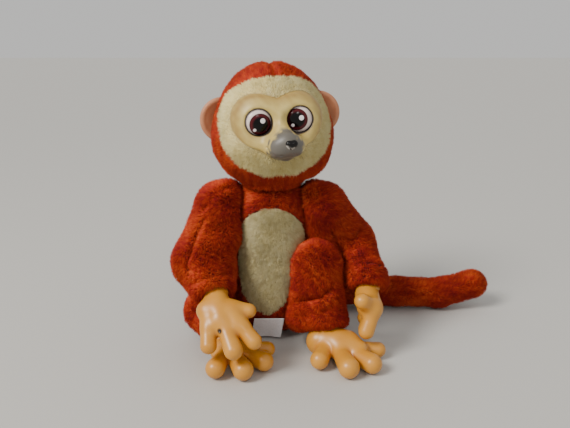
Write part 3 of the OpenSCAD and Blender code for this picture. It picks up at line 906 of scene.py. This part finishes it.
def limb_flow(limb):
    """Pile combed from the joint down the sleeve to its cuff."""
    a, b, c = limb.points

    def comb(p):
        d1, d2 = along(p, a, b)[1], along(p, b, c)[1]
        share = (1 / (1 + np.exp((d2 - d1) / 4)))[:, None]
        return (1 - share) * unit(b - a) + share * unit(c - b)
    return comb


def nearest(*fields):
    """The least of several fields."""
    return lambda p: np.min([f(p) for f in fields], axis=0)


def outside_socket(limb):
    """Where a sleeve carries pile: off its joint face, its cuff's bore and its base."""
    def keep(p):
        out, spoke = limb.past_cuff(p)
        joint = (limb.side * p[:, 0] < limb.face_x + 0.15) & (p[:, 1] > JOINT_FRONT_Y)
        bore = (out > -SOCKET_DEEP - 2) & (out < -1.0) & (spoke < SOCKET_R + 1.0)
        return ~bore & ~joint & (p[:, 2] > BALD_Z)
    return keep


def add_folded(name, skin, bodies, at, way, fill, *pile):
    """A whole skin with its pile, in the place of the solids of both bodies."""
    backing = add_object(f"{name}_plush", skin.verts, skin.faces, [red_shaded_back])
    for obj in (backing, plant(f"{name}_pile", skin, *pile)):
        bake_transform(obj)
    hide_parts(*bodies)


def make_limb(limb, field, seed, *neighbours):
    """One sleeve; its pile stops at the neighbours."""
    skin = Skin(field, *reach(limb), SLEEVE_STEP, FOLDS[limb.name], held_faces(limb),
                firm=thin_wall(limb))
    a, b, c = limb.points
    add_folded(limb.name, skin, (limb.upper, limb.lower), b, c - a, 0.75, outside_socket(limb),
               limb_flow(limb), BODY_FUR, seed, nearest(*neighbours, floor_field))


def make_limbs():
    """Arms and legs."""
    make_limb(ARM_LEFT, arm_left_field, 11, torso_field, leg_left_field, hand_left_field, head_field)
    make_limb(ARM_RIGHT, arm_right_field, 12, torso_field, leg_right_field, hand_right_field,
              head_field)
    make_limb(LEG_LEFT, leg_left_field, 21, torso_field, arm_left_field, foot_left_field)
    make_limb(LEG_RIGHT, leg_right_field, 22, torso_field, arm_right_field, foot_right_field)


# Folds and seams in a sleeve: the line's points in millimetres, then its width and its depth
FOLDS = {
    "arm_left": [([(46.7, -17.6, 89.9), (52.2, -12.6, 77.9), (57.2, -13.6, 67.6),
                   (62.3, -27.7, 62.7), (66.3, -38, 59.3)], 2.2, 3.2),
                 ([(56, -17, 84), (64, -13.7, 81.2), (71, -9, 88)], 3.2, 2.4)],
    "arm_right": [([(-50, -20.6, 109), (-42.9, -19.1, 115.6), (-35, -13, 122)], 2.4, 3.2),
                  ([(-52, -26, 102), (-56, -31.1, 93.4), (-59.3, -36.9, 84.9), (-63.9, -45.6, 72),
                    (-60, -54, 66)], 2.2, 3.2),
                  ([(-58, -56, 62), (-54.7, -59.6, 63.3), (-49.2, -61.4, 66.4),
                    (-44.2, -60.7, 68.5), (-36, -56, 69.5), (-31, -50, 66)], 2.8, 3.6)],
    "leg_left": [([(17, -42, 41), (27.4, -46, 43), (37.1, -49, 47), (44, -44, 51)], 3.2, 4.2),
                 ([(20, -46, 31), (29.6, -49, 33), (38.5, -52, 37), (46, -50, 41)], 2.6, 3.2),
                 ([(50.4, -44, 42.8), (50.1, -50.2, 33.2), (50, -53, 24)], 2.2, 3.2)],
    "leg_right": [([(-60, -36, 30), (-50, -46, 32), (-40, -50, 34)], 2.8, 2.2)],
}
CROWN_SEAM = [(1.5, -24, 34), (1.5, -14, 41), (1, 0, 44.5), (1, 14, 41), (0, 27, 33), (0, 37, 16),
              (0, 41, -6), (0, 40, -22), (0, 32, -36)]
CHIN_SEAM = [(-1, -38, -26), (-2, -34, -33), (-2, -28, -38)]


def part_of(skin, chosen):
    """Only the chosen faces of a skin, with their own vertices."""
    faces = skin.faces[chosen]
    used, again = np.unique(faces, return_inverse=True)
    return skin.verts[used], again.reshape(faces.shape)


def held_torso(p):
    """Pins on the torso's base, neck, shoulders' joint faces and tail root."""
    neck = ramp(p[:, 2] - NECK_Z + 5)
    joints = ramp(np.abs(p[:, 0]) - 22) * (p[:, 2] > 60)
    return np.maximum.reduce([held_base(p), neck, joints, ramp(p[:, 1] - 30)])


def add_plush(name, skin, chosen, tint, body, fill, stands_for, *pile):
    """Backing of the chosen faces, with its pile, on one body."""
    backing = add_object(f"{name}_plush", *part_of(skin, chosen),
                         [cream_shaded_back if tint == "cream_plush" else red_shaded_back])
    for obj in (backing, plant(f"{name}_pile", skin, *pile)):
        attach(obj, body)
    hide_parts(*stands_for)


def make_torso():
    """The torso's skin and pile, red but for the cream belly."""
    skin = Skin(torso_field, (-42, -40, -6), (42, 62, 132), ROUGH_STEP, [], held_torso, 2.0)
    cream = in_shield(skin.verts[skin.faces].mean(1))
    near = nearest(arm_left_field, arm_right_field, leg_left_field, leg_right_field, tail_field,
                   label_field, floor_field)

    def down(p):
        return np.tile([0, 0, -1.0], (len(p), 1))

    def outer(p):
        return (p[:, 2] > BALD_Z) & (p[:, 2] < NECK_Z - 2.5)

    add_plush("torso", skin, ~cream, "red_plush", "torso", 0.8,
              ("torso_skin", "torso_stuffing", "pellet_bag"),
              lambda p: outer(p) & ~in_shield(p, 1.0), down, BODY_FUR, 31, near)
    add_plush("belly", skin, cream, "cream_plush", "torso", 0.8, ("belly_panel",),
              lambda p: outer(p) & in_shield(p), down, BELLY_FUR, 32, near)


def ruff_reach(q):
    """Under 1 inside the cream ruff's outline round the face."""
    share = np.abs(q[:, [0, 2]] / [RUFF_X, RUFF_Z])
    return (share ** RUFF_POWER).sum(1) ** (1 / RUFF_POWER)


RIGHT = from_head((1, 0, 0))[0] - HEAD_AT


def in_ruff(p):
    """The part of the head that is cream or lies behind the mask."""
    q = into_head(p)
    return (ruff_reach(q) < RUFF_EDGE) & (q[:, 1] < FACE_Y)


def hood_comb(p):
    """Pile combed back, away from a point in front of the face."""
    return p - from_head((0, -70, 0))


def ruff_comb(p):
    """Pile combed outwards from the bridge of the nose, parted at the chin."""
    x, _, z = into_head(p).T
    fork = np.exp(-(x + 1.5) ** 2 / 60) * ramp((-z - 18) / 8) * np.sign(x + 1.5)
    return p - from_head((0, -30, 4)) + 9 * fork[:, None] * RIGHT


def ruff_longer(p):
    """Short beside the mask, long at the chin."""
    x, _, z = into_head(p).T
    chin = ramp((-z - 16) / 14) * ramp((20 - np.abs(x)) / 10)
    return np.clip(mask_field(p) / 4, 0.5, 1) * (1 + 0.6 * chin)


def make_head():
    """The head's skin and pile, red but for the cream ruff; the mask covers an open front."""
    seams = [(from_head(CROWN_SEAM), 2.4, 2.2), (from_head(CHIN_SEAM), 2.6, 1.0)]
    skin = Skin(head_field, (-56, -52, 118), (56, 52, 218), ROUGH_STEP, seams,
                lambda p: ramp(134 - p[:, 2]), 1.5)
    middles = skin.verts[skin.faces].mean(1)
    front = in_ruff(middles)
    cream = front & (goggles(into_head(middles)) > -5)

    def off_mask(p):
        return (mask_field(p) > 0.1) & (goggles(into_head(p)) > -4)

    add_plush("hood", skin, ~front, "red_plush", "head", 0.85, ("head_hood", "head_stuffing"),
              lambda p: ~in_ruff(p) & (p[:, 2] > 125.5), hood_comb, HOOD_FUR, 41,
              nearest(ear_field(1), ear_field(-1)))
    add_plush("ruff", skin, cream, "cream_plush", "head", 0.85, ("face_ruff",),
              lambda p: in_ruff(p) & off_mask(p), ruff_comb, RUFF_FUR, 42, mask_field,
              ruff_longer)


def make_tail():
    """The tail's skin and pile, combed to its tip."""
    skin = Skin(tail_field, (8, 20, -2), (200, 58, 38), ROUGH_STEP, [],
                lambda p: np.maximum(held_base(p), ramp(24 - p[:, 0])), 2.0)

    def off_root(p):
        return (ball(p, TAIL_ROOT, 12.6) > 0) & (p[:, 2] > BALD_Z)

    add_folded("tail", skin, ("tail_base", "tail_tip"), np.array(TAIL_MIDDLE, float),
               (1, 0, 0), 0.8, off_root, lambda p: np.tile([1.0, 0, 0.03], (len(p), 1)),
               BODY_FUR, 51, nearest(torso_field, arm_left_field, floor_field))


# ---------- vinyl pieces ----------

CAST_STEP, EAR_STEP, NOSE_STEP = 0.8, 0.9, 0.4


def make_vinyl(name, field, low, high, step, material, body, slot, values, stands_for=None):
    """A moulded piece with its named vertex values, in the place of one solid."""
    verts, faces = fair_mesh(field, low, high, step)
    cast = add_object(f"{name}_cast", verts, faces, [material])
    for key, worked_out in values.items():
        write_values(cast, key, worked_out(verts))
    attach(cast, body)
    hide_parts(stands_for or name)


def bulge(field, p, size):
    """How far a surface bends away from points that far round each vertex; below 0 in a hollow."""
    steps = np.concatenate([np.eye(3), -np.eye(3)])
    return sum(field(p + size * d) for d in steps) / 6 / size


def crease_shade_of(field):
    """Painted shade in hollows: how deep each vertex lies in one, from 0 to 1."""
    return lambda p: ramp(-3.2 * bulge(field, p, 2.5))


def tip_highlight_of(field):
    """Painted highlight: how far each vertex stands out on a tip."""
    return lambda p: np.clip(1.6 * bulge(field, p, 3.0) - 0.35, 0, 0.8)


def vent(p):
    """Painted shade: the dark dot in and round the vent hole in the right hand."""
    return ramp(2.4 - ball(p, VENT_AT, 0.0))


def make_casts():
    """Hands and feet."""
    for name, field, low, high in (
            ("hand_left", hand_left_field, (58, -70, 12), (90, -18, 62)),
            ("hand_right", hand_right_field, (-58, -102, 16), (-6, -42, 66)),
            ("foot_left", foot_left_field, (24, -96, -2), (92, -30, 36)),
            ("foot_right", foot_right_field, (-52, -98, -2), (7, -38, 36))):
        # Vertex values for painted shade in hollows, a painted highlight on tips and painted shade in
        # the vent hole.
        make_vinyl(name, field, low, high, CAST_STEP, tan_vinyl, name, "tan_vinyl",
                   {"crease_shade": crease_shade_of(field), "tip_highlight": tip_highlight_of(field), "vent": vent})


def mask_values():
    """Paint of the face: grey muzzle, a dark nostril line, painted shade in the mouth's groove, shaded
    brow, and a painted shadow line round each eye socket.
    """
    def grey(p):
        x, y, z = into_head(p).T
        wide = np.clip(3.5 + 0.95 * (1.2 - z), 0, 13.5) + 0.8 * ripple(p, 5, 61)
        return ramp((wide - np.abs(x - 2)) / 2.2) * ramp((1.8 - z) / 2) * ramp((-y - 33) / 3)

    # A dark nostril line, and painted shade along the mouth's groove.
    def dark(p):
        q = into_head(p)
        nostril = groove(q, NOSTRIL, 2.2) * ramp(0.6 + 0.5 * ripple(p, 3, 62))
        return 0.7 * np.maximum(nostril, groove(q, SMILE, 1.2))

    def shade(p):
        q = into_head(p)
        z = q[:, 2]
        ring = 0.5 * ramp((5 - eye_bores(q, EYE_R)) / 5) * np.clip(0.7 - z / 20, 0.4, 1)
        rim = 0.85 * ramp((goggles(q) + 5.5) / 5) * ramp((z + 12) / 6)
        return ramp(np.maximum(ring, rim) + 0.08 * ripple(p, 6, 63))

    # Painted shadow line where the mask meets each eye.
    def line(p):
        return ramp(1.4 - np.abs(eye_bores(into_head(p), EYE_R + 0.1)) / 0.55)
    return {"grey": grey, "shade": shade, "line": line, "dark": dark}


def chipped(p):
    """Where the nose's black paint is worn off, round its lower edge."""
    z = into_head(p)[:, 2] - NOSE_AT[2]
    rim = ramp(1.5 - mask_field(p) / 0.9) * ramp(0.8 - z)
    return rim * ramp(2 * ripple(p, 3.0, 71) + 0.6)


def around(place, room):
    """A box round a place on the head."""
    at = from_head(place)[0]
    return at - room, at + room


def make_face():
    """Mask, nose and ears."""
    make_vinyl("face_mask", mask_field, *around((0, -40, 0), 46), CAST_STEP, face_vinyl, "head",
               "face_vinyl", mask_values())
    make_vinyl("nose", nose_field, *around(NOSE_AT, 9), NOSE_STEP, nose_gloss, "head",
               "black_nose", {"chipped": chipped}, "nose_button")
    for side, name in ((1, "ear_left"), (-1, "ear_right")):
        box = around(EAR_AT * np.array([side, 1, 1]), 22)
        make_vinyl(name, ear_field(side), *box, EAR_STEP, ear_vinyl, "head", "ear_vinyl", {})


def axis_value(material, axis, at):
    """Distance along an axis of the head's frame from a point of that frame, in millimetres."""
    way = from_head(axis)[0] - HEAD_AT
    place = node(material, "ShaderNodeTexCoord", {})["Object"]
    dot = node(material, "ShaderNodeVectorMath", {0: place, 1: tuple(way / MM)},
               operation="DOT_PRODUCT")["Value"]
    start = float(from_head(at)[0] @ way)
    return node(material, "ShaderNodeMath", {0: dot, 1: start}, operation="SUBTRACT")[0]


def round_spot(material, at, r, soft):
    """1 inside a printed disc of radius r on the front of an eye, 0 outside."""
    across, up = (axis_value(material, axis, at) for axis in ((1, 0, 0), (0, 0, 1)))
    flat = node(material, "ShaderNodeCombineXYZ", {0: across, 1: up})[0]
    long = node(material, "ShaderNodeVectorMath", {0: flat}, operation="LENGTH")["Value"]
    return ranged(material, long, r + soft, r - soft)


EYE_WHITE = (232, 214, 206)
# The print's middle in the head's X and Z, and where its high and low glint are from there
EYE_PRINTS = {"eye_left": ((EYE_X - 2.5, EYE_Z + 0.1), (3.2, 1.2), (-3.1, -3.9)),
              "eye_right": ((1.0 - EYE_X, EYE_Z - 1.6), (1.8, 2.7), (-4.3, -3.6))}
# Radius, softness of the edge and tone of each printed disc
EYE_RINGS = [(7.9, 0.3, (34, 8, 12)), (7.4, 0.7, (84, 20, 26)), (5.7, 0.9, (20, 6, 8)),
             (4.8, 0.6, (4, 3, 4))]
HIGH_GLINT, LOW_GLINT = (1.8, 0.2, (246, 238, 238)), (1.15, 0.2, (240, 228, 228))


def eye_material(name):
    """Printed eye: white, maroon iris, black pupil and two glints, under clear gloss."""
    material = shader(name, EYE_WHITE, 0.16, Specular_IOR_Level=0.25)
    (x, z), high, low = EYE_PRINTS[name]
    discs = [((0, 0), ring) for ring in EYE_RINGS] + [(high, HIGH_GLINT), (low, LOW_GLINT)]
    socket = EYE_WHITE
    for (dx, dz), (r, soft, tone) in discs:
        share = round_spot(material, (x + dx, 0, z + dz), r, soft)
        socket = mix_colour(material, share, socket, tone)
    surface(material, Base_Color=socket)
    return material


def dress_cad_nodes():
    """Materials of the solids that stay: eyes, and the hidden nylon hardware."""
    for name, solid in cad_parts.items():
        if name in EYE_PRINTS:
            solid.data.materials.clear()
            solid.data.materials.append(eye_material(name))
        elif not solid.hide_render and name != "care_label":
            solid.data.materials.clear()
            solid.data.materials.append(nylon)


LABEL_COUNT = 28         # vertices along each edge of the label
LABEL_SLANT = 3.0        # how far its free end hangs to one side
LABEL_SHORT = 0.985      # height of the hanging label for its flat height, because of the waves
LABEL_THICK = 0.25


def make_label():
    """Satin care label, without print, hanging from the crotch seam."""
    (wide, tall), edge = LABEL_SIZE, np.linspace(0, 1, LABEL_COUNT)
    u, v = np.meshgrid(edge, edge, indexing="ij")
    x = LABEL_TOP[0] + (u - 0.5) * wide - LABEL_SLANT * v
    drop = v * tall * LABEL_SHORT
    wave = np.sin(3.6 * u + 0.6) * v + 0.5 * np.sin(9 * u + 2.5 * v) * v
    y = LABEL_TOP[1] + drop * math.sin(LABEL_LEAN) + wave - 0.4
    z = LABEL_TOP[2] - drop * math.cos(LABEL_LEAN)
    verts = np.stack([x, y, z], -1).reshape(-1, 3)
    index = np.arange(LABEL_COUNT ** 2).reshape(LABEL_COUNT, LABEL_COUNT)
    faces = np.stack([index[:-1, :-1], index[1:, :-1], index[1:, 1:], index[:-1, 1:]], -1)
    label = add_object("label_satin", verts, faces.reshape(-1, 4), [satin])
    label.modifiers.new("Solidify", "SOLIDIFY").thickness = LABEL_THICK * MM
    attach(label, "torso")
    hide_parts("care_label")


# ---------- stage ----------

CAMERA_AT, CAMERA_PITCH = (0.0105, -0.4683, 0.2331), math.radians(16)
LENS, SENSOR = 37.9, 36
FLOOR_TONE, FLOOR_HALF, FLOOR_Z = (194, 192, 187), 9000, -0.2
SKY_COLOUR, SKY_LIGHT = (1, 0.99, 0.97, 1), 0.64
SUN_LIGHT, SUN_WIDE, SUN_COLOUR = 2.4, math.radians(22), (1, 0.97, 0.92)
# Two discs of light, in metres: where, towards where, size, power and colour
DISCS = {"side": ((-0.62, -0.5, 0.72), (-0.02, 0, 0.12), 0.3, 2.6, SUN_COLOUR),
         "gloss": ((0.1, -0.8, 0.62), (0, 0, 0.1), 0.12, 0.7, (1, 0.98, 0.95))}


def add_light(name, kind, at, way, strength, colour):
    """A light that shines that way."""
    lamp = bpy.data.lights.new(name, kind)
    lamp.energy, lamp.color = strength, colour
    obj, way = in_scene(name, lamp), unit(way)
    obj.location = at
    obj.rotation_euler = (math.acos(-way[2]), 0, math.atan2(way[1], way[0]) - math.pi / 2)
    return lamp


def make_stage():
    """Floor, sky, sun, two discs of light and the photo's camera."""
    corners = [(x, y, FLOOR_Z) for x, y in ((-FLOOR_HALF, -FLOOR_HALF), (FLOOR_HALF, -FLOOR_HALF),
                                            (FLOOR_HALF, FLOOR_HALF), (-FLOOR_HALF, FLOOR_HALF))]
    add_object("floor", np.array(corners), np.array([[0, 1, 2, 3]]),
                        [shader("floor_paint", FLOOR_TONE, 0.6)])
    world = bpy.context.scene.world or bpy.data.worlds.new("World")
    bpy.context.scene.world = world
    world.use_nodes = True
    sky = world.node_tree.nodes["Background"]
    sky.inputs["Color"].default_value = SKY_COLOUR
    sky.inputs["Strength"].default_value = SKY_LIGHT
    sun = add_light("key", "SUN", (0, 0, 0), (0.8, 0.6, -0.9), SUN_LIGHT, SUN_COLOUR)
    sun.angle = SUN_WIDE
    for name, (at, towards, size, power, colour) in DISCS.items():
        disc = add_light(name, "AREA", at, np.subtract(towards, at), power, colour)
        disc.shape, disc.size = "DISK", size
    camera = bpy.data.cameras.new("camera")
    camera.lens, camera.sensor_width, camera.clip_start = LENS, SENSOR, 0.01
    eye = in_scene("camera", camera)
    eye.location = CAMERA_AT
    eye.rotation_euler = (math.pi / 2 - CAMERA_PITCH, 0, 0)
    bpy.context.scene.camera = eye


make_torso()
make_head()
make_limbs()
make_tail()
make_casts()
make_face()
make_label()
dress_cad_nodes()
make_stage()
